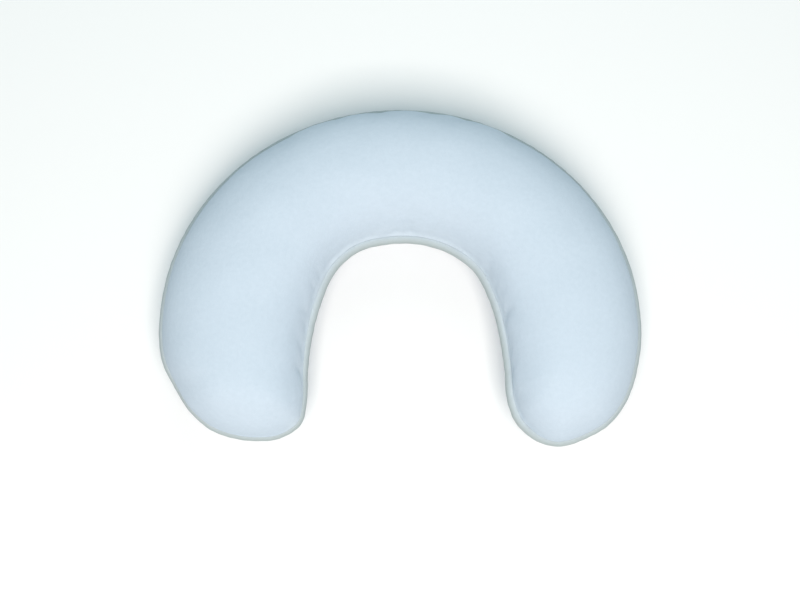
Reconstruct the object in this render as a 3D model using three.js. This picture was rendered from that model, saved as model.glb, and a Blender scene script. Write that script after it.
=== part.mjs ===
import * as THREE from 'three';

// A horseshoe neck pillow, lying on its back. Two cut panels of brushed cloth are sewn together along their
// edge, with a round piping cord in the seam, and stuffed until they stand up as a full tube that bends
// round the opening for the neck.
// Sizes are in millimetres. In plan, x runs across the pillow and y runs from the open legs to the crest of
// the closed arch. They are counted from the middle of the arch. z is the height above the floor.

// Heights of the filled tube
const ARCH_CROWN = 84;
const LEG_CROWN = 87;
const SEAM_HEIGHT = 41;
const FLATTENED_BY = 4; // how far the round underside would sag below the floor that presses it flat

// Cross-section of the filled tube
const FULLNESS = 2.2; // exponent of the section: 2 is an ellipse, more is squarer
const DRAWN_IN = 1.2; // how far the stitches pull the panels in at the seam
const DRAWN_HEIGHT = 7; // height over which the panels swell out again
const PANEL_ROWS = 10;

// Piping cord
const PIPING_RADIUS = 3.5;
const PIPING_SIDES = 8;
const PIPING_STANDOUT = 4.8; // how far it stands out past the widest part of the panels
const GROOVE_RADIUS = 4; // hollow of the seam that the cord lies in
const TUCK_STANDOUT = 2.6; // how much less it stands out where the filling bulges over it
const TUCK_DROP = 4; // how much lower the seam lies there

// Closed arch: the piping's outer edge is half an ellipse
const ARCH_HALF_WIDTH = 171;
const ARCH_DEPTH = 160.5;
const ARCH_POINTS = 13;

// The rest of the piping's outer edge in plan, on round the left leg, the neck opening and the right leg.
// The pillow lies a little unevenly, so its two legs differ. tuck says how far the seam has rolled under the
// filling, from 0, where the cord stands at mid-height, to 1. Below 0 the cord has rolled up into view.
const LEFT_LEG_END = [
  { x: -168, y: -25, tuck: 0 },
  { x: -159, y: -43, tuck: 0.3 },
  { x: -148, y: -60, tuck: 0.6 },
  { x: -133, y: -72.8, tuck: 0.9 },
  { x: -117, y: -78.6, tuck: 1 },
  { x: -100, y: -80.6, tuck: 1 },
  { x: -84, y: -78.6, tuck: 1 },
  { x: -69.5, y: -68.6, tuck: 1 },
  { x: -65.6, y: -52, tuck: 0.8 },
];
const NECK_EDGE = [
  { x: -65, y: -30, tuck: 0.6 },
  { x: -62, y: -6, tuck: 0.3 },
  { x: -56.5, y: 15.5, tuck: 0 },
  { x: -46.5, y: 39, tuck: 0 },
  { x: -30, y: 54.4, tuck: 0 },
  { x: -8, y: 60.2, tuck: 0 },
  { x: 14, y: 60, tuck: 0 },
  { x: 35, y: 53.3, tuck: 0 },
  { x: 53, y: 39.4, tuck: 0 },
  { x: 64.5, y: 15.5, tuck: -0.2 },
  { x: 69.5, y: -4, tuck: -0.4 },
];
const RIGHT_LEG_END = [
  { x: 73.5, y: -32, tuck: -0.4 },
  { x: 74.6, y: -50.5, tuck: -0.4 },
  { x: 81, y: -68.5, tuck: -0.2 },
  { x: 95, y: -80.8, tuck: 0 },
  { x: 111, y: -84.8, tuck: 0 },
  { x: 127, y: -80.5, tuck: 0 },
  { x: 147, y: -69, tuck: 0 },
  { x: 160.5, y: -50.5, tuck: 0 },
  { x: 168.5, y: -25, tuck: 0 },
];
const EDGE_DIVISIONS = 900; // short straight lengths that the closed edge is measured in

// Spine: the line along the middle of the tube, where its crown lies
const SPINE_OFFSET = 2; // the opening sits slightly right of the arch's middle
const SPINE_HALF_WIDTH = 118;
const SPINE_DEPTH = 110.5;
const SPINE_LEG = 36;
const ARCH_STEPS = 48;
const LEG_STEPS = 4;
const END_STEPS = 20; // directions round each leg's end

const CLOTH_BLUE = 0xcfe2f2;
const PIPING_WHITE = 0xd9e2e0;

// Outer edge of the piping as one closed curve, counterclockwise seen from above, with the tuck in its z
function edgeCurve() {
  const points = [];
  for (let i = 0; i < ARCH_POINTS; i += 1) {
    const angle = (Math.PI * i) / (ARCH_POINTS - 1);
    points.push(new THREE.Vector3(ARCH_HALF_WIDTH * Math.cos(angle), ARCH_DEPTH * Math.sin(angle), 0));
  }
  for (const { x, y, tuck } of [...LEFT_LEG_END, ...NECK_EDGE, ...RIGHT_LEG_END]) {
    points.push(new THREE.Vector3(x, y, tuck));
  }
  return new THREE.CatmullRomCurve3(points, true, 'centripetal');
}

// Where a straight line from the spine reaches the edge, and which way is in from the edge there
function edgeReachedFrom(centre, direction, curve, corners) {
  let nearest = null;
  for (let i = 0; i < EDGE_DIVISIONS; i += 1) {
    const start = corners[i];
    const along = corners[i + 1].clone().sub(start);
    const gap = start.clone().sub(centre);
    const crossing = direction.x * along.y - direction.y * along.x;
    const distance = (gap.x * along.y - gap.y * along.x) / crossing;
    const share = (gap.x * direction.y - gap.y * direction.x) / crossing;
    const hits = distance > 0 && share >= 0 && share <= 1;
    if (hits && (nearest === null || distance < nearest.distance)) {
      nearest = { distance, at: (i + share) / EDGE_DIVISIONS };
    }
  }
  const edge = curve.getPoint(nearest.at);
  const forward = curve.getTangent(nearest.at);
  const inward = new THREE.Vector3(-forward.y, forward.x, 0).normalize();
  return { edge: new THREE.Vector3(edge.x, edge.y, 0), tuck: edge.z, inward };
}

// Stations along the spine from the right leg's end over the arch to the left leg's end
function spineStations() {
  const stations = [];
  for (let i = 0; i < LEG_STEPS; i += 1) {
    const y = -SPINE_LEG * (1 - i / LEG_STEPS);
    stations.push({ angle: 0, y });
  }
  for (let i = 0; i <= ARCH_STEPS; i += 1) {
    stations.push({ angle: (Math.PI * i) / ARCH_STEPS, y: 0 });
  }
  for (let i = 1; i <= LEG_STEPS; i += 1) {
    stations.push({ angle: Math.PI, y: (-SPINE_LEG * i) / LEG_STEPS });
  }
  return stations.map(({ angle, y }, index) => {
    const across = Math.cos(angle);
    const centre = new THREE.Vector3(
      SPINE_OFFSET + SPINE_HALF_WIDTH * across,
      y + SPINE_DEPTH * Math.sin(angle),
      0,
    );
    const outward = new THREE.Vector3(SPINE_DEPTH * across, SPINE_HALF_WIDTH * Math.sin(angle), 0);
    const crown = ARCH_CROWN + (LEG_CROWN - ARCH_CROWN) * Math.abs(across);
    return { index, centre, outward: outward.normalize(), crown };
  });
}

// Spokes from the spine to the edge, counterclockwise round the whole pillow
function spokesRound(stations) {
  const curve = edgeCurve();
  const corners = curve.getPoints(EDGE_DIVISIONS).map((point) => new THREE.Vector3(point.x, point.y, 0));
  const upright = new THREE.Vector3(0, 0, 1);
  const spokes = [];

  function addSpoke(station, direction) {
    spokes.push({ station, ...edgeReachedFrom(station.centre, direction, curve, corners) });
  }
  function addEnd(station, from) {
    for (let i = 1; i < END_STEPS; i += 1) {
      addSpoke(station, from.clone().applyAxisAngle(upright, (Math.PI * i) / END_STEPS));
    }
  }

  const last = stations[stations.length - 1];
  for (const station of stations) {
    addSpoke(station, station.outward);
  }
  addEnd(last, last.outward);
  for (const station of [...stations].reverse()) {
    addSpoke(station, station.outward.clone().negate());
  }
  addEnd(stations[0], stations[0].outward.clone().negate());
  return spokes;
}

// Collects the points and faces of one closed skin
class Skin {
  constructor() {
    this.positions = [];
    this.faces = [];
  }

  addPoint(point) {
    this.positions.push(point.x, point.y, point.z);
    return this.positions.length / 3 - 1;
  }

  addRow(spokes, place) {
    return spokes.map((spoke) => this.addPoint(place(spoke)));
  }

  // Spokes that share a station share its crown point, and a face with two like corners is left out
  addFace(a, b, c) {
    if (a !== b && b !== c && c !== a) {
      this.faces.push(a, b, c);
    }
  }

  // Faces between two rows that run the same way round. They face out where the second row lies to the left
  // of the first, seen from outside.
  join(first, second) {
    first.forEach((here, i) => {
      const next = (i + 1) % first.length;
      this.addFace(here, first[next], second[next]);
      this.addFace(here, second[next], second[i]);
    });
  }

  geometry() {
    const geometry = new THREE.BufferGeometry();
    geometry.setAttribute('position', new THREE.Float32BufferAttribute(this.positions, 3));
    geometry.setIndex(this.faces);
    geometry.computeVertexNormals();
    return geometry;
  }
}

function seamHeightAt(spoke) {
  return SEAM_HEIGHT - TUCK_DROP * spoke.tuck;
}

function standoutAt(spoke) {
  return PIPING_STANDOUT - TUCK_STANDOUT * spoke.tuck;
}

// A point in from the piping's outer edge by depth, and above the seam by rise
function pointAtEdge(spoke, depth, rise) {
  const point = spoke.edge.clone().addScaledVector(spoke.inward, depth);
  point.z = seamHeightAt(spoke) + rise;
  return point;
}

// Angle round the cord, from straight in towards the filling, at which the groove ends in the panel's lip
function lipAngle(spoke) {
  return Math.acos((standoutAt(spoke) + DRAWN_IN - PIPING_RADIUS) / GROOVE_RADIUS);
}

function groovePoint(spoke, share, side) {
  const angle = share * lipAngle(spoke);
  const depth = PIPING_RADIUS + GROOVE_RADIUS * Math.cos(angle);
  return pointAtEdge(spoke, depth, side * GROOVE_RADIUS * Math.sin(angle));
}

// A point of the top panel (side 1) or the underside (side -1). turn runs from 0 at the lip to a right angle
// at the spine.
function panelPoint(spoke, turn, side) {
  const round = 2 / FULLNESS;
  const seamHeight = seamHeightAt(spoke);
  const lipRise = GROOVE_RADIUS * Math.sin(lipAngle(spoke));
  const fullRise = side > 0 ? spoke.station.crown - seamHeight : seamHeight + FLATTENED_BY;
  const swell = (fullRise - lipRise) * Math.sin(turn) ** round;
  const drawnIn = DRAWN_IN * Math.exp(-((swell / DRAWN_HEIGHT) ** 2));
  const rim = spoke.edge.clone().addScaledVector(spoke.inward, standoutAt(spoke) + drawnIn);
  const point = spoke.station.centre.clone().lerp(rim, Math.cos(turn) ** round);
  point.z = Math.max(0, seamHeight + side * (lipRise + swell));
  return point;
}

function crownPoint(station, side) {
  const point = station.centre.clone();
  point.z = side > 0 ? station.crown : 0;
  return point;
}

// The stuffed body: both panels from the groove of the seam to the spine, the underside flat on the floor
function pillowGeometry(stations, spokes) {
  const skin = new Skin();
  const grooveFloor = skin.addRow(spokes, (spoke) => groovePoint(spoke, 0, 1));
  for (const side of [1, -1]) {
    const rows = [grooveFloor];
    rows.push(skin.addRow(spokes, (spoke) => groovePoint(spoke, 0.5, side)));
    for (let i = 0; i < PANEL_ROWS; i += 1) {
      const turn = (0.5 * Math.PI * i) / PANEL_ROWS;
      rows.push(skin.addRow(spokes, (spoke) => panelPoint(spoke, turn, side)));
    }
    const crowns = stations.map((station) => skin.addPoint(crownPoint(station, side)));
    rows.push(spokes.map((spoke) => crowns[spoke.station.index]));
    for (let i = 1; i < rows.length; i += 1) {
      const [right, left] = side > 0 ? [rows[i - 1], rows[i]] : [rows[i], rows[i - 1]];
      skin.join(right, left);
    }
  }
  return skin.geometry();
}

// The cord in its groove, as one closed ring of round section
function pipingGeometry(spokes) {
  const skin = new Skin();
  const rows = [];
  for (let i = 0; i < PIPING_SIDES; i += 1) {
    const angle = (2 * Math.PI * i) / PIPING_SIDES;
    const depth = PIPING_RADIUS * (1 - Math.cos(angle));
    const rise = PIPING_RADIUS * Math.sin(angle);
    rows.push(skin.addRow(spokes, (spoke) => pointAtEdge(spoke, depth, rise)));
  }
  rows.forEach((row, i) => skin.join(row, rows[(i + 1) % PIPING_SIDES]));
  return skin.geometry();
}

function namedMesh(name, geometry, color, roughness) {
  const material = new THREE.MeshStandardMaterial({ color, roughness, metalness: 0 });
  const mesh = new THREE.Mesh(geometry, material);
  mesh.name = name;
  return mesh;
}

const stations = spineStations();
const spokes = spokesRound(stations);
const pillow = new THREE.Group();
pillow.add(namedMesh('pillow', pillowGeometry(stations, spokes), CLOTH_BLUE, 0.95));
pillow.add(namedMesh('edge_piping', pipingGeometry(spokes), PIPING_WHITE, 0.9));

// The part's origin is on the floor under the middle of its box
const box = new THREE.Box3().setFromObject(pillow);
const middle = box.getCenter(new THREE.Vector3());
pillow.position.set(-middle.x, -middle.y, -box.min.z);

export default pillow;
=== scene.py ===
# %% [markdown]
# # A horseshoe neck pillow
# The real thing is two panels of pale blue brushed cloth, sewn edge to edge with a piping cord in the seam
# and then stuffed until they stand up as a full tube round the opening for the neck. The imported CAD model
# gives its size and its place, and it stays untouched. This lesson makes the two pieces that show in the
# order of a sewing room: the seam line, the panels on it, the filling that presses them out, and the cord in
# the seam.

# %% Load the frame
import math

import bpy
import numpy as np
from mathutils import Euler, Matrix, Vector
from mathutils.kdtree import KDTree


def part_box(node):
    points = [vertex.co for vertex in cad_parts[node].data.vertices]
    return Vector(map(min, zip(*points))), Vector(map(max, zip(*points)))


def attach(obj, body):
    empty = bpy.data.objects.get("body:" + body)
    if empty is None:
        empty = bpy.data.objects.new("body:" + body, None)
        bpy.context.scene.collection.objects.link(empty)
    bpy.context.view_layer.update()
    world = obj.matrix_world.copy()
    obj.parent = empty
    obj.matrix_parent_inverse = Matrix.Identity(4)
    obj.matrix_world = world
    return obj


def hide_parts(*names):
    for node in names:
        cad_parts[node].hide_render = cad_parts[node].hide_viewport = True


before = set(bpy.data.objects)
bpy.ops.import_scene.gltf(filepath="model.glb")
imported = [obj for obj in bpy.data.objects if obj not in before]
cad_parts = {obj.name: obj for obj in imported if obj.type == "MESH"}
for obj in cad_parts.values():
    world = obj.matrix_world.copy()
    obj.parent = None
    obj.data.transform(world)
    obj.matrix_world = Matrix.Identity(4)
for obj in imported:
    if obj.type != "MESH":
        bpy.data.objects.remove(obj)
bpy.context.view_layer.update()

MM = 0.001
SEED = 20
rng = np.random.default_rng(SEED)

# %% [markdown]
# ## The seam line
# Everything hangs on one line: the outer edge of the piping, seen from above. It could be read from the CAD
# mesh, but a few dozen measured places say it better and give a line of any fineness. The third number is
# how far the seam has rolled under the filling there, from 0 (the cord stands at mid-height) to 1 (it is
# tucked under). Below 0 the cord lies a little above mid-height. Millimetres are easiest to read here, and
# each mesh is turned into metres when it is made.

# %% Measure the seam line
ARCH_HALF_WIDTH = 171
ARCH_DEPTH = 160.5
ARCH_POINTS = 13
LEFT_LEG_END = [
    (-168, -25, 0), (-159, -43, 0.3), (-148, -60, 0.6),
    (-133, -72.8, 0.9), (-117, -78.6, 1), (-100, -80.6, 1),
    (-84, -78.6, 1), (-69.5, -68.6, 1), (-65.6, -52, 0.8),
]
NECK_EDGE = [
    (-65, -30, 0.6), (-62, -6, 0.3), (-56.5, 15.5, 0), (-46.5, 39, 0),
    (-30, 54.4, 0), (-8, 60.2, 0), (14, 60, 0), (35, 53.3, 0),
    (53, 39.4, 0), (64.5, 15.5, -0.2), (69.5, -4, -0.4),
]
RIGHT_LEG_END = [
    (73.5, -32, -0.4), (74.6, -50.5, -0.4), (81, -68.5, -0.2),
    (95, -80.8, 0), (111, -84.8, 0), (127, -80.5, 0),
    (147, -69, 0), (160.5, -50.5, 0), (168.5, -25, 0),
]
arch_angles = np.linspace(0, np.pi, ARCH_POINTS)
arch = [(ARCH_HALF_WIDTH * math.cos(angle), ARCH_DEPTH * math.sin(angle), 0) for angle in arch_angles]
measured = np.array(arch + LEFT_LEG_END + NECK_EDGE + RIGHT_LEG_END, float)
print(len(measured), "places measured on the seam")

# %% [markdown]
# A smooth closed line through the places comes from cubic pieces, in which each piece bends by its
# neighbours. The centripetal kind takes the square roots of the gaps, and so it doesn't overshoot where the
# places are near each other, as they are at the leg ends. A curve object could join the places too, but the
# next steps need the line's lengths and directions as numbers. The frame's origin lies under the middle of
# the pillow, so the plan is shifted until the crest of the arch lies where the CAD's piping has it.

# %% Draw the seam line
LINE_STEPS = 40


def smooth_line(points, steps):
    """A closed line through the points, with this many short steps from each point to the next."""
    before, here, after, beyond = (np.roll(points, shift, axis=0) for shift in (1, 0, -1, -2))

    def root_gap(first, second):
        return np.linalg.norm(second - first, axis=1, keepdims=True) ** 0.5

    g0, g1, g2 = root_gap(before, here), root_gap(here, after), root_gap(after, beyond)
    leave = ((here - before) / g0 - (after - before) / (g0 + g1) + (after - here) / g1) * g1
    arrive = ((after - here) / g1 - (beyond - here) / (g1 + g2) + (beyond - after) / g2) * g1
    share = np.linspace(0, 1, steps, endpoint=False)[:, None, None]
    square = 3 * (after - here) - 2 * leave - arrive
    cube = 2 * (here - after) + leave + arrive
    line = here + leave * share + square * share**2 + cube * share**3
    return line.transpose(1, 0, 2).reshape(-1, 3)


plan_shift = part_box("edge_piping")[1].y / MM - ARCH_DEPTH
seam = smooth_line(measured, LINE_STEPS) + [0, plan_shift, 0]
seam_ahead = np.roll(seam, -1, axis=0) - seam
seam_steps = np.hypot(seam_ahead[:, 0], seam_ahead[:, 1])
seam_length = seam_steps.sum()
seam_place = np.concatenate([[0], np.cumsum(seam_steps)[:-1]])
print(f"seam {seam_length:.0f} mm long, plan shifted by {plan_shift:.2f} mm")

# %% [markdown]
# ## The spine
# A stuffed tube is easiest to mesh round its spine, the line along which its crown lies. From stations on
# the spine, spokes will go out to the seam on both sides. Each spoke carries one strip of cloth, so the
# mesh's lines run with the tube as the cloth does. A voxel remesh would be quicker to write, but it would
# rub out the narrow hollow that the piping lies in. The spine is half an ellipse with two straight legs, and
# the right leg has rolled a little as it lies, so its crown leans towards the neck. The crown is kept a
# little low here, because the filling lifts it later.

# %% Place the stations
SPINE_OFFSET = 2
SPINE_HALF_WIDTH = 118
SPINE_DEPTH = 110.5
SPINE_LEG = 36
RIGHT_LEAN = 6
ARCH_STEPS = 96
LEG_STEPS = 9
ARCH_CROWN = 84
LEG_CROWN = 87
UNFILLED = 2.4


def unit(vectors):
    """Each vector at length 1."""
    return vectors / np.linalg.norm(vectors, axis=-1, keepdims=True)


down_leg = np.linspace(-SPINE_LEG, 0, LEG_STEPS, endpoint=False)
swing = np.concatenate([0 * down_leg, np.linspace(0, np.pi, ARCH_STEPS + 1), 0 * down_leg + np.pi])
slide = np.concatenate([down_leg, np.zeros(ARCH_STEPS + 1), down_leg[::-1]])
lean = RIGHT_LEAN * np.maximum(0, np.cos(swing)) ** 2
stations = np.stack([
    SPINE_OFFSET + SPINE_HALF_WIDTH * np.cos(swing) - lean,
    plan_shift + slide + SPINE_DEPTH * np.sin(swing),
], axis=1)
outward = unit(np.stack([SPINE_DEPTH * np.cos(swing), SPINE_HALF_WIDTH * np.sin(swing)], axis=1))
crowns = ARCH_CROWN + (LEG_CROWN - ARCH_CROWN) * np.abs(np.cos(swing)) - UNFILLED
print(len(stations), "stations on the spine")

# %% [markdown]
# ## Spokes
# The spokes go once round the spine: along its outer side, in a fan round the left leg's end, back along its
# inner side, and in a fan round the right leg's end. The fans could be left out and the ends closed by a
# flat cap, but the cloth of a real leg's end runs round it without a break.

# %% Set the spokes
END_STEPS = 38


def turned(direction, angles):
    """A plan direction turned counterclockwise by each of the angles."""
    x, y = direction
    cosines, sines = np.cos(angles), np.sin(angles)
    return np.stack([x * cosines - y * sines, x * sines + y * cosines], axis=1)


last = len(stations) - 1
fan = np.pi * np.arange(1, END_STEPS) / END_STEPS
station_of = np.concatenate([
    np.arange(last + 1), np.full(len(fan), last), np.arange(last + 1)[::-1], np.zeros(len(fan), int),
])
spokes = np.concatenate([outward, turned(outward[-1], fan), -outward[::-1], turned(-outward[0], fan)])
print(len(spokes), "spokes")

# %% [markdown]
# Each spoke ends where its ray first meets the seam line. There it takes the line's place, its roll and
# the direction that points in to the filling, square to the seam. A ray cast against a mesh would find the
# place too, but two lines in a plan meet by a short sum, and arrays work it out for all spokes at once.

# %% Run the spokes to the seam


def cross(first, second):
    """How far the second plan vector turns from the first, with its sign."""
    return first[..., 0] * second[..., 1] - first[..., 1] * second[..., 0]


def at_share(values, index, share):
    """A value between one point of the seam line and the next."""
    after = np.roll(values, -1, axis=0)
    share = share.reshape(-1, *[1] * (values.ndim - 1))
    return values[index] * (1 - share) + after[index] * share


to_seam = seam[None, :, :2] - stations[station_of][:, None]
crossing = cross(spokes[:, None], seam_ahead[None, :, :2])
spoke_reach = cross(to_seam, seam_ahead[None, :, :2]) / crossing
seam_share = cross(to_seam, spokes[:, None]) / crossing
meets = (spoke_reach > 0) & (seam_share >= 0) & (seam_share < 1)
met = np.where(meets, spoke_reach, np.inf).argmin(axis=1)
met_share = seam_share[np.arange(len(met)), met]

forward = unit(np.roll(seam, -1, axis=0)[:, :2] - np.roll(seam, 1, axis=0)[:, :2])
seam_inward = np.stack([-forward[:, 1], forward[:, 0]], axis=1)
edge = at_share(seam[:, :2], met, met_share)
roll = at_share(seam[:, 2], met, met_share)
inward = unit(at_share(seam_inward, met, met_share))
print(f"the shortest spoke is {spoke_reach[np.arange(len(met)), met].min():.0f} mm")

# %% [markdown]
# ## The section of the tube
# Across the tube the cloth starts in the hollow round the cord, turns over a lip, flares back a little and
# swells up to the crown. Half an ellipse would be the plainest swell, but a stuffed tube is a little squarer,
# which FULLNESS sets: 2 is an ellipse. The outer side of the left leg is stuffed more softly, so that it
# slopes almost like one. Round the outside of the arch and at the right leg's end the filling pushes the
# cloth out over the cord, so that less of the cord shows there.

# %% Lay out the section
SEAM_HEIGHT = 41
CORD_RADIUS = 3.5
CORD_STANDOUT = 4.8
HOLLOW_RADIUS = 3.5
ROLL_STANDOUT = 2.6
ROLL_DROP = 4
OUTER_TUCK = 1.9
OUTER_FROM, OUTER_OVER = 0.9, 0.06
RIGHT_END_FROM, RIGHT_END_OVER = 86, 20
SET_BACK = 1.3
OUTER_SET_BACK = 0.5
FULLNESS = 2.35
LEFT_SOFTNESS = 0.35
FLATTEST_LIP = 0.99


def ramp(values, start, over):
    """0 up to the start, and from there a straight rise to 1 over the given distance."""
    return np.clip((values - start) / over, 0, 1)


arch_reach = np.hypot(edge[:, 0] / ARCH_HALF_WIDTH, (edge[:, 1] - plan_shift) / ARCH_DEPTH)
outer = np.maximum(ramp(arch_reach, OUTER_FROM, OUTER_OVER), ramp(edge[:, 0], RIGHT_END_FROM, RIGHT_END_OVER))
seam_height = SEAM_HEIGHT - ROLL_DROP * roll
standout = CORD_STANDOUT - ROLL_STANDOUT * np.maximum(0, roll) - OUTER_TUCK * outer
set_back = SET_BACK + (OUTER_SET_BACK - SET_BACK) * outer
power = 2 / (FULLNESS - LEFT_SOFTNESS * outer * np.maximum(0, inward[:, 0]) ** 2)
lip_angle = np.arccos(np.minimum(FLATTEST_LIP, (standout - CORD_RADIUS) / HOLLOW_RADIUS))
lip_rise = HOLLOW_RADIUS * np.sin(lip_angle)
print(f"the lip rises {lip_rise.min():.1f} to {lip_rise.max():.1f} mm from the seam")

# %% [markdown]
# Two helpers give one row of points each, with a point for every spoke: in the hollow, and on a panel. The
# underside's curve runs on under the floor, and stopping it at the floor gives the flat patch on which the
# pillow lies. Squashing a finished tube would be easier, but it would lower the whole underside and leave no
# part of it flat.

# %% Draw rows of points
FLATTENED_BY = 4
FLARE_HEIGHT = 2.0


def placed(plan, height):
    """Points of the plan, each at its height."""
    return np.column_stack([plan, height])


def hollow_row(share, side):
    """Points in the hollow round the cord, from its deepest line (0) to the lip (1)."""
    angle = share * lip_angle
    depth = CORD_RADIUS + HOLLOW_RADIUS * np.cos(angle)
    return placed(edge + inward * depth[:, None], seam_height + side * HOLLOW_RADIUS * np.sin(angle))


def panel_row(turn, side):
    """Points of the top (side 1) or underside (-1), from the lip (turn 0) to the spine (a right angle)."""
    full_rise = crowns[station_of] - seam_height if side > 0 else seam_height + FLATTENED_BY
    swell = (full_rise - lip_rise) * math.sin(turn) ** power
    flare = set_back * (1 - np.exp(-swell / FLARE_HEIGHT))
    rim = edge + inward * (standout + flare)[:, None]
    middle = stations[station_of]
    plan = middle + (rim - middle) * (math.cos(turn) ** power)[:, None]
    return placed(plan, np.maximum(0, seam_height + side * (lip_rise + swell)))


print(len(hollow_row(0, 1)), "points in a row")

# %% [markdown]
# ## The cover as it is sewn
# The rows join into one closed skin, from the deepest line of the hollow over the lip to the crown, and the
# same way down to the underside. The bridge tool could join the rows one pair at a time, but the faces
# follow from the order of the points, so they can simply be counted out. Spokes of a fan share their
# station's crown point, so the faces there are triangles. Rows lie closest near the seam, where the cloth
# bends most.

# %% Build the cover
PANEL_ROWS = 24
ROW_CROWDING = 1.6
HOLLOW_SHARES = (0.5, 0.88)


class Skin:
    """Rows of points that run the same way round, and the faces between them."""

    def __init__(self):
        self.points, self.faces = [], []

    def row(self, points):
        """Keeps a row, and gives the numbers of its points."""
        first = sum(len(row) for row in self.points)
        self.points.append(points)
        return np.arange(first, first + len(points))

    def join(self, below, above):
        """Adds the faces between two rows. Where two corners are one point, the face is a triangle."""
        for corners in zip(below, np.roll(below, -1), np.roll(above, -1), above):
            self.faces.append(list(dict.fromkeys(int(corner) for corner in corners)))

    def piece(self, name):
        """A new smooth-shaded object, in metres."""
        mesh = bpy.data.meshes.new(name)
        mesh.from_pydata((np.concatenate(self.points) * MM).tolist(), [], self.faces)
        mesh.shade_smooth()
        new = bpy.data.objects.new(name, mesh)
        bpy.context.scene.collection.objects.link(new)
        return new


cover_skin = Skin()
deepest = cover_skin.row(hollow_row(0, 1))
for side in (1, -1):
    rows = [deepest] + [cover_skin.row(hollow_row(share, side)) for share in HOLLOW_SHARES]
    for step in np.arange(PANEL_ROWS) / PANEL_ROWS:
        rows.append(cover_skin.row(panel_row(0.5 * math.pi * step**ROW_CROWDING, side)))
    crown_points = placed(stations, crowns if side > 0 else 0 * crowns)
    rows.append(cover_skin.row(crown_points)[station_of])
    for below, above in zip(rows, rows[1:]):
        cover_skin.join(*((below, above) if side > 0 else (above, below)))
cover = cover_skin.piece("pillow_cover")
print("cover:", len(cover.data.vertices), "points,", len(cover.data.polygons), "faces")

# %% [markdown]
# ## The filling
# Stuffing presses the cloth out evenly, like air in a balloon, so the cloth solver's pressure stands in for
# it. Loose balls inside would be truer and far slower. The solver wants squares of one size, and the fans at
# the leg ends have slivers. So it works on a copy that is remeshed evenly, and the cover then follows the
# copy. The helpers here read and write all of a piece's points in one go, which is much faster than a loop
# over them.

# %% Make an even copy
EVEN_SIZE = 4.5


def points_of(piece):
    """All points of a piece, in millimetres."""
    points = np.empty(len(piece.data.vertices) * 3, np.float32)
    piece.data.vertices.foreach_get("co", points)
    return points.reshape(-1, 3).astype(float) / MM


def move_points(piece, points):
    """Puts all points of a piece where these are, in millimetres."""
    piece.data.vertices.foreach_set("co", (points * MM).astype(np.float32).ravel())
    piece.data.update()


def apply(piece, modifier):
    """Makes what the modifier does to the piece its mesh."""
    bpy.context.view_layer.objects.active = piece
    bpy.ops.object.modifier_apply(modifier=modifier.name)


def use(piece, kind, **settings):
    """Adds a modifier to a piece, sets it and applies it at once."""
    modifier = piece.modifiers.new(kind.lower(), kind)
    for setting, value in settings.items():
        setattr(modifier, setting, value)
    apply(piece, modifier)


even = cover_skin.piece("even_copy")
use(even, "REMESH", mode="VOXEL", voxel_size=EVEN_SIZE * MM)
print("even copy:", len(even.data.vertices), "points")

# %% [markdown]
# The stitches hold the cloth at the cord, and the floor holds it where it lies. The solver is told so by a
# weight at each point, which fades out a little past the lip. For that each point needs its distance from
# the cord's middle line, and a tree of the line's points finds the nearest one quickly.

# %% Hold the seam
HELD_PAST, HELD_FADE = 1.5, 2
FLOOR_GRIP = 0.3


def tree_of(points):
    """A search tree of the points."""
    tree = KDTree(len(points))
    for index, point in enumerate(points):
        tree.insert(point, index)
    tree.balance()
    return tree


cord_line = placed(seam[:, :2] + CORD_RADIUS * seam_inward, SEAM_HEIGHT - ROLL_DROP * seam[:, 2])
cord_tree = tree_of(cord_line)


def near_cord(points):
    """For each point, the nearest point of the cord's middle line and how far off it is."""
    found = [cord_tree.find(point) for point in points]
    return np.array([index for _, index, _ in found]), np.array([away for _, _, away in found])


sewn = points_of(even)
sewn_at, sewn_away = near_cord(sewn)
held = 1 - ramp(sewn_away - HOLLOW_RADIUS, HELD_PAST, HELD_FADE)
held[sewn[:, 2] < FLOOR_GRIP] = 1
print(f"{np.mean(held > 0):.0%} of the cloth is held")

# %% [markdown]
# The panels have a little spare cloth beside the neck edge: a straight piece of cloth that is sewn to the
# inside of a bend has more length than it needs, and its slight waves come from there. It could be cut into
# the mesh, but the solver can loosen it too: there, cloth that shrinks by less than nothing is spare, and
# the cloth that isn't beside the neck edge is kept snug.

# %% Leave spare cloth
NECK_HALF_WIDTH = 78
NECK_FROM = -110
SPARE_MIDDLE, SPARE_SPREAD = 8, 14
neck_side = (np.abs(cord_line[sewn_at, 0]) < NECK_HALF_WIDTH) & (cord_line[sewn_at, 1] > NECK_FROM)
spare = np.where(neck_side, np.exp(-(((sewn_away - SPARE_MIDDLE) / SPARE_SPREAD) ** 2)), 0)
print(f"{np.mean(spare > 0.1):.0%} of the cloth is loosened")

# %% [markdown]
# The weights go to the solver as vertex groups. It then runs for a short while, frame by frame, and its last
# shape is applied. Pressure alone does the work here: gravity would only pull the copy through the floor,
# since nothing but the weights holds it.

# %% Press the filling in
PRESSURE = 300
SPARE_CLOTH = 0.045
FRAMES = 20


def weight_points(piece, name, weights):
    """A new vertex group with these weights, by its name."""
    group = piece.vertex_groups.new(name=name)
    for index in np.flatnonzero(weights > 0):
        group.add([int(index)], float(weights[index]), "REPLACE")
    return name


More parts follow.
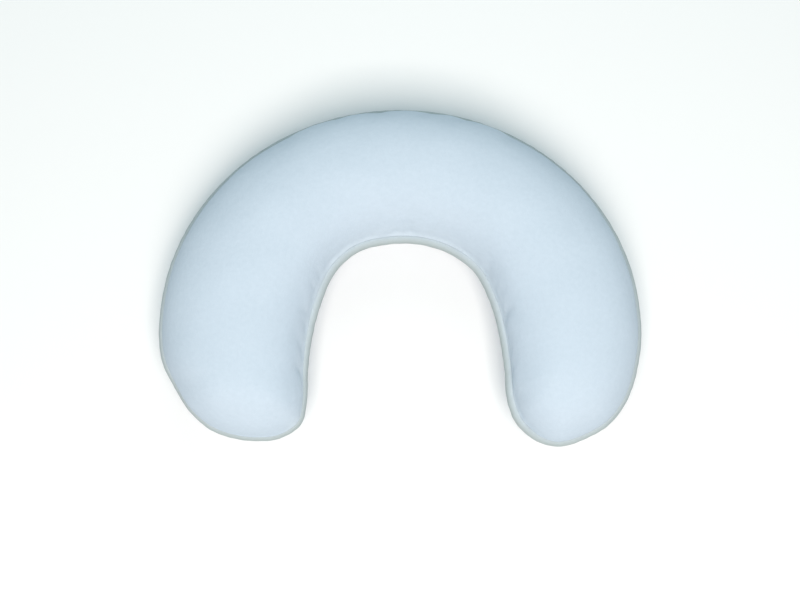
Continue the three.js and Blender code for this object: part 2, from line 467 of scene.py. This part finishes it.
moves = None
filling = even.modifiers.new("filling", "CLOTH")
cloth = filling.settings
cloth.vertex_group_mass = weight_points(even, "held", held)
cloth.use_pressure = True
cloth.uniform_pressure_force = PRESSURE
cloth.effector_weights.gravity = 0
cloth.vertex_group_shrink = weight_points(even, "snug", 1 - spare)
cloth.shrink_min, cloth.shrink_max = -SPARE_CLOTH, 0
filling.point_cache.frame_end = FRAMES
for number in range(1, FRAMES + 1):
    bpy.context.scene.frame_set(number)
apply(even, filling)
bpy.context.scene.frame_set(1)
moves = points_of(even) - sewn
move_sizes = np.linalg.norm(moves, axis=1, keepdims=True)
print(f"moved {move_sizes.mean():.2f} mm on average, {move_sizes.max():.2f} mm at most")

# %% [markdown]
# Each point of the cover takes a blend of the moves of the copy's points near it. A Surface Deform modifier
# does the same, but it would also drag the hollow along, and here the moves can be held back near the cord.
# Each move is capped first, so that no point strays.

# %% Let the cover follow
MOST_MOVE = 3.0
NEIGHBOURS = 10
BLEND_WIDTH = 0.7 * EVEN_SIZE
FREE_FROM, FREE_OVER = 0.5, 4
TINY = 1e-9


def follow(points, start, moves):
    """The moves of the nearest points of the even copy, blended for each point."""
    tree = tree_of(start)
    found = [tree.find_n(point, NEIGHBOURS) for point in points]
    index = np.array([[i for _, i, _ in near] for near in found])
    away = np.array([[d for _, _, d in near] for near in found])
    weight = np.exp(-((away / BLEND_WIDTH) ** 2)) + TINY
    return (moves[index] * weight[..., None]).sum(axis=1) / weight.sum(axis=1)[:, None]


if moves is not None:
    moves *= np.minimum(1, MOST_MOVE / np.maximum(move_sizes, TINY))
    filled = points_of(cover)
    filled_away = near_cord(filled)[1]
    free = ramp(filled_away - HOLLOW_RADIUS, FREE_FROM, FREE_OVER)[:, None]
    filled += follow(filled, sewn, moves) * free
    filled[:, 2] = np.maximum(0, filled[:, 2])
    move_points(cover, filled)
bpy.data.objects.remove(even)
print("cover:", round(points_of(cover)[:, 2].max(), 1), "mm high")

# %% [markdown]
# The puckers that follow are a few millimetres wide, and one level of subdivision makes the mesh fine enough
# for them. It also rounds the last corners between the rows. A second level would make four times as many
# faces and show nothing more. Every point then notes which place of the cord is nearest to it and how far it
# lies from the lip, because all the fine work is measured from the seam.

# %% Make it finer
use(cover, "SUBSURF", levels=1, render_levels=1)
cover.data.shade_smooth()
finer = points_of(cover)
finer_at, finer_away = near_cord(finer)
off_lip = finer_away - HOLLOW_RADIUS
print("cover:", len(cover.data.polygons), "faces, up to", round(finer[:, 2].max(), 1), "mm high")

# %% [markdown]
# ## Puckers and lumps
# A row of stitches holds the cloth a little shorter than the cloth beside it, so small dents run in from the
# seam, a finger's width apart and never quite alike. They are deeper where the seam bends, round the neck
# and at the leg ends. They could be a bump in the material, but moves of the mesh also show at the outline.

# %% Pucker the seams
PUCKER_GAP = 11
PUCKER_REACH = 30
PUCKER_SHIFT = 0.35
PUCKER_DEPTHS = (0.15, 0.6)
PUCKER_WIDTHS = (1.6, 3.4)
PUCKER_LENGTHS = (5, 14)
PUCKER_START = 1.5
BEND_SPAN = 12
STRAIGHT_TIGHTNESS, BEND_TIGHTNESS = 0.15, 2.2
bend = np.abs(cross(np.roll(forward, BEND_SPAN, axis=0), np.roll(forward, -BEND_SPAN, axis=0)))
tightness = np.clip(STRAIGHT_TIGHTNESS + BEND_TIGHTNESS * bend, 0, 1)


def pucker_depth(place, off):
    """How deep the dents are at places along the seam, off mm from the lip."""
    count = round(seam_length / PUCKER_GAP)
    middle = (np.arange(count) + rng.uniform(-PUCKER_SHIFT, PUCKER_SHIFT, count)) * seam_length / count
    depth = rng.uniform(*PUCKER_DEPTHS, count) * np.interp(middle, seam_place, tightness)
    width = rng.uniform(*PUCKER_WIDTHS, count)
    length = rng.uniform(*PUCKER_LENGTHS, count)
    beside = (place[:, None] - middle + seam_length / 2) % seam_length - seam_length / 2
    dents = depth * np.exp(-((beside / width) ** 2) - (off[:, None] / length) ** 2)
    return dents.sum(axis=1) * ramp(off, 0, PUCKER_START)


dents = np.zeros(len(finer))
for side in (1, -1):
    here = (off_lip < PUCKER_REACH) & (side * (finer[:, 2] - cord_line[finer_at, 2]) > 0)
    dents[here] = pucker_depth(seam_place[finer_at[here]], off_lip[here])
print(f"puckers up to {dents.max():.2f} mm deep")

# %% [markdown]
# The loose fibres inside leave soft lumps all over, too low to see but for the light on them. A noise
# texture on a Displace modifier could raise them, but a sum of plane waves in random directions is as short,
# has no seam or grain, and can fade out at the stitches and where the floor presses the cloth flat. The
# points move along their normals, out for a lump and in for a pucker.

# %% Raise the lumps
LUMP_SIZES = (28, 45)
LUMP_HEIGHT = 0.15
LUMP_WAVES = 40
OFF_STITCHES = 12
OFF_FLOOR = 6


def normals_of(piece):
    """The direction straight out of the surface at each point."""
    normals = np.empty(len(piece.data.vertices) * 3, np.float32)
    piece.data.vertices.foreach_get("normal", normals)
    return normals.reshape(-1, 3).astype(float)


waves = unit(rng.normal(size=(LUMP_WAVES, 3))) * 2 * np.pi / rng.uniform(*LUMP_SIZES, (LUMP_WAVES, 1))
phases = rng.uniform(0, 2 * np.pi, LUMP_WAVES)
lumps = LUMP_HEIGHT * np.cos(finer @ waves.T + phases).sum(axis=1) / math.sqrt(LUMP_WAVES / 2)
ease = ramp(off_lip, 0, OFF_STITCHES) * ramp(finer[:, 2], 0, OFF_FLOOR)
finer += normals_of(cover) * (lumps * ease - dents)[:, None]
finer[:, 2] = np.maximum(0, finer[:, 2])
move_points(cover, finer)
print(f"lumps {lumps.min():.2f} to {lumps.max():.2f} mm")

# %% [markdown]
# The finest folds are gathers, one for each few stitches and only as long as a grain of rice. They are too
# fine for the mesh, so a bump will draw them, and for that the cover gets a UV map: the first number counts
# gathers along the seam, and the second is the distance from the lip in centimetres. Where a face lies over
# the start of the line, its corners count on instead of starting again, so that no fold is squeezed there.

# %% Map the gathers
GATHER = 3.2
CM = 10
gather_count = round(seam_length / GATHER)
corner_points = np.empty(len(cover.data.loops), np.int32)
cover.data.loops.foreach_get("vertex_index", corner_points)
corner_place = seam_place[finer_at][corner_points].reshape(-1, 4)
over_start = np.ptp(corner_place, axis=1, keepdims=True) > seam_length / 2
corner_place += seam_length * (over_start & (corner_place < seam_length / 2))
gather_map = np.empty((len(corner_points), 2), np.float32)
gather_map[:, 0] = corner_place.ravel() * gather_count / seam_length
gather_map[:, 1] = off_lip[corner_points] / CM
cover.data.uv_layers.new(name="gathers").uv.foreach_set("vector", gather_map.ravel())
print(gather_count, "gathers round the seam")

# %% [markdown]
# Along the neck edge the cloth is painted paler. This is painted light that lifts the shade in the hollow
# between the legs, close to the cord. A picture texture could say where, but a number from 0 to 1 at each
# point is enough. It is kept as an attribute of the mesh, and the material can read it by its name.

# %% Paint light along the neck edge
LIGHT_PAINT_REACH = 12
LIGHT_PAINT_HALF_WIDTH, LIGHT_PAINT_SIDE_FADE = 76, 8
LIGHT_PAINT_FROM, LIGHT_PAINT_END_FADE = -118, 12
across_neck = 1 - ramp(np.abs(cord_line[:, 0]), LIGHT_PAINT_HALF_WIDTH, LIGHT_PAINT_SIDE_FADE)
neck_edge = across_neck * ramp(cord_line[:, 1], LIGHT_PAINT_FROM, LIGHT_PAINT_END_FADE)
# painted light: strongest at the lip of the neck edge, fading away from it
light_painted = neck_edge[finer_at] * np.exp(-np.maximum(0, off_lip) / LIGHT_PAINT_REACH)
light_paint_marks = cover.data.attributes.new("light_painted", "FLOAT", "POINT")
light_paint_marks.data.foreach_set("value", light_painted.astype(np.float32))
print(f"{np.mean(light_painted > 0.1):.0%} of the points are rubbed")

# %% [markdown]
# ## Piping
# The piping is a strip of plain cloth folded over a round cord and caught in the seam. A curve with a round
# bevel would give an even tube. Rows of points take little more, and with them the strip can be a little
# uneven along its length and pinched by the stitches on its inner side. First the seam line is walked in
# even steps, and each step gets its edge, its height and its inward direction.

# %% Walk the seam
CORD_STEP = 1.25
cord_count = round(seam_length / CORD_STEP)
cord_places = np.linspace(0, seam_length, cord_count, endpoint=False)
cord_index = np.searchsorted(seam_place, cord_places, side="right") - 1
cord_share = (cord_places - seam_place[cord_index]) / seam_steps[cord_index]
cord_edge = at_share(seam[:, :2], cord_index, cord_share)
cord_height = SEAM_HEIGHT - ROLL_DROP * at_share(seam[:, 2], cord_index, cord_share)
cord_inward = unit(at_share(seam_inward, cord_index, cord_share))
print(cord_count, "steps along the cord")

# %% [markdown]
# The strip's thickness changes by a sum of waves that each fit the cord's length a whole number of times, so
# that its two ends match. The stitches pinch it in the same way, with one wave for each stitch.

# %% Sew in the piping
CORD_SIDES = 20
CORD_SLACK = 0.05
STITCH = 2.5
PINCH = 0.07
UNEVEN_WAVES = 24
UNEVEN_HEIGHT = 0.05
UNEVEN_COUNTS = (30, 160)
FULL_PHASE = 6.28
turns_along = 2 * np.pi * cord_places / seam_length
wave_turns = np.outer(turns_along, rng.integers(*UNEVEN_COUNTS, UNEVEN_WAVES))
wave_turns = wave_turns + rng.uniform(0, FULL_PHASE, UNEVEN_WAVES)
uneven = UNEVEN_HEIGHT * np.cos(wave_turns).sum(axis=1) / math.sqrt(UNEVEN_WAVES / 2)
stitches = np.cos(round(seam_length / STITCH) * turns_along)

cord_skin = Skin()
cord_rows = []
for angle in 2 * np.pi * np.arange(CORD_SIDES) / CORD_SIDES:
    pinch = PINCH * max(0, -math.cos(angle)) * stitches
    radius = CORD_RADIUS - CORD_SLACK + uneven - pinch
    plan = cord_edge + cord_inward * (CORD_RADIUS - radius * math.cos(angle))[:, None]
    cord_rows.append(cord_skin.row(placed(plan, cord_height + radius * math.sin(angle))))
for row, after in zip(cord_rows, cord_rows[1:] + cord_rows[:1]):
    cord_skin.join(row, after)
piping = cord_skin.piece("edge_welt")
print("piping:", len(piping.data.polygons), "faces")

# %% [markdown]
# Its weave needs a map too. The strip could be unwrapped along a marked seam, but the faces were made in
# order, side by side round the cord and step by step along it, so the map can be counted out: 0 to 1 along
# the cord, and 0 to 1 round it from its outermost line.

# %% Map the strip
around = (np.arange(CORD_SIDES)[:, None] + [0, 0, 1, 1]) / CORD_SIDES
onward = (np.arange(cord_count)[:, None] + [0, 1, 1, 0]) / cord_count
strip_map = np.empty((CORD_SIDES, cord_count, 4, 2), np.float32)
strip_map[..., 0] = onward[None]
strip_map[..., 1] = around[:, None]
piping.data.uv_layers.new(name="weave").uv.foreach_set("vector", strip_map.ravel())
print("strip map:", strip_map[..., 0].size, "corners")

# %% [markdown]
# ## Writing shaders as sums
# A material is a graph of nodes, but its maths reads best as maths. Wire wraps one output socket, and the
# plus, minus and times signs on it add Math nodes. Their reflected forms let the number stand first, as in
# 1 - mask.

# %% Wires


class Wire:
    """An output socket that can be reckoned with."""

    def __init__(self, finish, socket):
        self.finish, self.socket = finish, socket

    def math(self, operation, *others):
        """This value put through a Math node, with any others after it."""
        return self.finish.math(operation, self, *others)

    def __add__(self, other):
        return self.math("ADD", other)

    def __sub__(self, other):
        return self.math("SUBTRACT", other)

    def __rsub__(self, other):
        return self.finish.math("SUBTRACT", other, self)

    def __mul__(self, other):
        return self.math("MULTIPLY", other)

    __radd__, __rmul__ = __add__, __mul__


# %% [markdown]
# Everything else comes from one method, add, which takes a node's type, its settings and what its sockets
# get: a plain value is set, and a Wire is linked. The short methods after it name the few nodes that both
# cloths use. Colours go through a Mix node, because a Math node would turn them grey.

# %% Finishes


class Finish:
    """A new material, as its nodes are added."""

    def __init__(self, name):
        self.material = bpy.data.materials.new(name)
        self.material.use_nodes = True
        self.tree = self.material.node_tree
        self.tree.nodes.clear()

    def add(self, kind, settings=None, sockets=None, output=0):
        """A new node with its settings and sockets, and the Wire of one of its outputs."""
        node = self.tree.nodes.new(kind)
        for setting, value in (settings or {}).items():
            setattr(node, setting, value)
        for socket, value in (sockets or {}).items():
            if isinstance(value, Wire):
                self.tree.links.new(value.socket, node.inputs[socket])
            else:
                node.inputs[socket].default_value = value
        return Wire(self, node.outputs[output]) if node.outputs else None

    def math(self, operation, *values):
        """One Math node for these values."""
        return self.add("ShaderNodeMath", {"operation": operation}, dict(enumerate(values)))

    def place(self):
        """Where each point of the piece lies, in metres."""
        return self.add("ShaderNodeTexCoord", output=3)

    def noise(self, place, size, detail=2, roughness=0.5):
        """Soft random spots of about this size in mm, from 0 to 1."""
        return self.add("ShaderNodeTexNoise", {}, {
            "Vector": place, "Scale": 1000 / size, "Detail": detail, "Roughness": roughness})

    def blend(self, share, first, second):
        """A colour between two colours."""
        settings = {"data_type": "RGBA", "clamp_factor": True}
        return self.add("ShaderNodeMix", settings, {0: share, 6: first, 7: second}, 2)

    def map(self, name):
        """The two numbers of one of the piece's maps."""
        corners = self.add("ShaderNodeUVMap", {"uv_map": name})
        return [self.add("ShaderNodeSeparateXYZ", {}, {"Vector": corners}, axis) for axis in (0, 1)]

    def bump(self, relief, height, strength):
        """Relief that only the light sees, up to this height in metres."""
        sockets = {"Strength": strength, "Distance": height, "Height": relief}
        return self.add("ShaderNodeBump", {}, sockets)

    def done(self, settings):
        """Ends in one cloth shader with these sockets."""
        shader = self.add("ShaderNodeBsdfPrincipled", {}, settings)
        self.add("ShaderNodeOutputMaterial", {}, {"Surface": shader})
        return self.material


# %% [markdown]
# ## Brushed cloth
# The cover looks like a brushed knit, whose face is a short nap of loose fibre ends. Close by, the nap is a
# fine grain that lies one way. From further off it gathers into soft spots a few millimetres across, and
# over a hand's width it looks lighter or deeper where it was stroked another way. Real hairs could make the
# nap, but millions of them would only show from a finger's width away, so three sizes of noise stand in for
# it. Object coordinates carry them, in metres, and need no unwrapping. Each weight in a sum says how much
# that part counts.

# %% Lay the nap
GRAIN_SIZE = 0.7
SPOT_SIZE = 3.2
STROKE_SIZE = 42
COMBED = (1, 0.45, 1)
dye = Finish("cover_cloth")
cover_place = dye.place()
combed = dye.add("ShaderNodeMapping", {}, {"Vector": cover_place, "Scale": COMBED})
grain = dye.noise(combed, GRAIN_SIZE, detail=3, roughness=0.6)
spots = dye.noise(cover_place, SPOT_SIZE, detail=3, roughness=0.55)
strokes = dye.noise(cover_place, STROKE_SIZE)
tone = 0.5 + 0.55 * (grain - 0.5) + 0.9 * (spots - 0.5) + 0.5 * (strokes - 0.5)
print("the nap takes", len(dye.tree.nodes), "nodes")

# %% [markdown]
# The gathers are a sine along the seam that dies away from the lip. Real ones come and go, so another noise
# makes them deeper in some places and leaves them out in others.

# %% Fold the gathers
GATHER_FADE = -3.2
GATHER_PATCH = 12
gathers_on, lip_off = dye.map("gathers")
folds = (gathers_on * 2 * math.pi).math("SINE") * (lip_off * GATHER_FADE).math("EXPONENT")
folds = folds * (dye.noise(cover_place, GATHER_PATCH, detail=1) * 1.6 - 0.3)
relief = 0.55 * grain + 0.45 * spots + 0.45 * folds
print("with the gathers it is", len(dye.tree.nodes), "nodes")

# %% [markdown]
# The dye lies between a deeper and a paler blue as the nap goes, and towards the neck edge it turns to a
# paler blue, which is painted light over the shade there. The cloth is too matt to shine, so it reflects
# little and is rough all over. The nap scatters light at a slant, which the sheen gives.

# %% Dye the cover
DEEP_BLUE = (0.51, 0.594, 0.682, 1)
PALE_BLUE = (0.577, 0.662, 0.756, 1)
# painted light: the pale blue laid over the neck edge, and how much of it shows
PAINTED_LIGHT_BLUE = (0.7, 0.765, 0.82, 1)
LIGHT_PAINT_SHARE = 0.45
NAP_HEIGHT = 0.0004
dyed = dye.blend(tone, DEEP_BLUE, PALE_BLUE)
# the neck edge's painted light, read from the mesh
neck_light_paint = dye.add("ShaderNodeAttribute", {"attribute_name": "light_painted"}, output=2)
cover.data.materials.append(dye.done({
    "Base Color": dye.blend(LIGHT_PAINT_SHARE * neck_light_paint, dyed, PAINTED_LIGHT_BLUE),
    "Roughness": 0.97 - 0.12 * spots,
    "Normal": dye.bump(relief, NAP_HEIGHT, strength=0.7),
    "Specular IOR Level": 0.2,
    "Sheen Weight": 0.12,
    "Sheen Roughness": 0.6,
    "Sheen Tint": (0.86, 0.93, 1, 1),
}))
print("cover cloth:", len(dye.tree.nodes), "nodes")

# %% [markdown]
# ## Plain cloth on the bias
# The piping's strip is cut at 45 degrees to the threads so that it bends round the cord without creasing.
# Its weave therefore runs in diagonals. It could be modelled thread by thread, but threads of half a
# millimetre only need a bump. Two crossing sines on the strip's map draw them, and whole numbers of threads
# make the pattern meet itself.

# %% Weave the strip
THREAD = 0.5
SLUB_SIZE = 1.6
threads_round = round(2 * math.pi * CORD_RADIUS / (THREAD * math.sqrt(2)))
threads_along = round(seam_length / (THREAD * math.sqrt(2)))
strip = Finish("piping_cloth")
along_cord, round_cord = strip.map("weave")
warp = along_cord * threads_along + round_cord * threads_round
weft = along_cord * threads_along - round_cord * threads_round
ridges = ((warp * math.pi).math("SINE") * (weft * math.pi).math("SINE")).math("ABSOLUTE")
strip_place = strip.place()
slubs = strip.noise(strip_place, SLUB_SIZE, detail=3, roughness=0.6)
print("piping cloth:", threads_round, "threads round,", threads_along, "along")

# %% [markdown]
# The strip is off-white and has faded in patches. Its outermost line is painted greyer than its inner side:
# this is painted shade on the side of the cord that turns away from the light, and a cosine round the cord
# tells the two apart.

# %% Colour the piping
FADING_SIZE = 14
DULL_WHITE = (0.515, 0.587, 0.63, 1)
FRESH_WHITE = (0.585, 0.662, 0.708, 1)
PAINTED_SHADE_GREY = (0.38, 0.43, 0.422, 1)
WEAVE_HEIGHT = 0.0002
fading = strip.noise(strip_place, FADING_SIZE)
freshness = 0.3 + 0.4 * ridges + 1.1 * (slubs - 0.5) + 0.9 * (fading - 0.5)
fresh = strip.blend(freshness, DULL_WHITE, FRESH_WHITE)
# painted shade: greyer towards the cord's outermost line
outermost = 0.5 + 0.5 * (round_cord * 2 * math.pi).math("COSINE")
piping.data.materials.append(strip.done({
    "Base Color": strip.blend(1.3 * outermost - 0.5, fresh, PAINTED_SHADE_GREY),
    "Roughness": 0.92 - 0.1 * slubs,
    "Normal": strip.bump(0.7 * ridges + 0.5 * slubs, WEAVE_HEIGHT, strength=0.8),
    "Specular IOR Level": 0.3,
    "Sheen Weight": 0.05,
    "Sheen Roughness": 0.5,
}))
print("piping cloth:", len(strip.tree.nodes), "nodes")

# %% [markdown]
# ## A plain pale floor
# The pillow lies on a plain pale floor, large enough that no view reaches its edge. A curved backdrop would
# hide the horizon, but a flat floor is enough for looking down at a pillow. Its paint needs no pattern,
# because nothing on it is looked at.

# %% Lay the floor
FLOOR_HALF = 4
FLOOR_TONE = 0.87
FLOOR_ROUGHNESS = 0.9
floor_paint = bpy.data.materials.new("floor_paint")
floor_paint.use_nodes = True
floor_sockets = floor_paint.node_tree.nodes["Principled BSDF"].inputs
floor_sockets["Base Color"].default_value = (FLOOR_TONE, FLOOR_TONE, FLOOR_TONE, 1)
floor_sockets["Roughness"].default_value = FLOOR_ROUGHNESS

floor_mesh = bpy.data.meshes.new("floor")
floor_corners = [(x * FLOOR_HALF, y * FLOOR_HALF, 0) for x, y in ((-1, -1), (1, -1), (1, 1), (-1, 1))]
floor_mesh.from_pydata(floor_corners, [], [(0, 1, 2, 3)])
floor_mesh.materials.append(floor_paint)
floor = bpy.data.objects.new("floor", floor_mesh)
bpy.context.scene.collection.objects.link(floor)
print("floor:", 2 * FLOOR_HALF, "m wide")

# %% [markdown]
# ## Light
# Brushed cloth is all soft changes, and a small hard lamp would draw each lump. One softbox stands close
# behind the camera, a weaker one lights the arch from the far side, and the surroundings fill in a cool
# light that turns the slopes bluer than the crown. The plain Standard view keeps the pale blue as it is
# dyed, where the filmic ones would grey it.

# %% Set the light
SOFTBOX_SIZE = 0.9
ROOM_COLOUR = (0.76, 0.94, 1, 1)
ROOM_STRENGTH = 0.43


def softbox(name, place, watts, colour):
    """A square light that faces the pillow."""
    light = bpy.data.lights.new(name, "AREA")
    light.color, light.size, light.energy = colour, SOFTBOX_SIZE, watts
    stand = bpy.data.objects.new(name, light)
    stand.location = place
    stand.rotation_euler = (-Vector(place)).to_track_quat("-Z", "Y").to_euler()
    bpy.context.scene.collection.objects.link(stand)


softbox("key", place=(0.05, -0.78, 1.6), watts=28.6, colour=(1, 0.92, 0.86))
softbox("back", place=(0, 1.3, 1.2), watts=5, colour=(0.75, 0.98, 1))
studio = bpy.data.worlds.new("studio")
studio.use_nodes = True
surroundings = studio.node_tree.nodes["Background"].inputs
surroundings["Color"].default_value = ROOM_COLOUR
surroundings["Strength"].default_value = ROOM_STRENGTH
bpy.context.scene.world = studio
bpy.context.scene.view_settings.view_transform = "Standard"

# %% [markdown]
# ## Camera
# The camera looks down at the face from the side of the legs, 11 degrees off straight above, and a long lens
# keeps the legs as wide as the arch. A constraint could aim it, but a place and a tilt are as short and stay
# as they are written.

# %% Set the camera
LENS_LENGTH = 69.9
CAMERA_PLACE = (-0.0001, -0.2305, 1.1256)
CAMERA_TILT = 11
lens = bpy.data.cameras.new("camera")
lens.lens = LENS_LENGTH
camera = bpy.data.objects.new("camera", lens)
camera.location = CAMERA_PLACE
camera.rotation_euler = Euler((math.radians(CAMERA_TILT), 0, 0))
bpy.context.scene.collection.objects.link(camera)
bpy.context.scene.camera = camera
print("camera:", [round(value, 3) for value in camera.location])

# %% [markdown]
# ## Joining the frame
# The pillow has no moving part, so both pieces ride its one body. Each takes the place of the CAD node that
# it dresses. The cover is the one that is padded: its filling stands it up nearly to its full height.

# %% Join the pieces to the frame
for piece, node, material_slot in ((cover, "pillow", "cover_cloth"), (piping, "edge_piping", "piping_cloth")):
    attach(piece, "root")
    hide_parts(node)
    print(piece.name, "replaces", node)
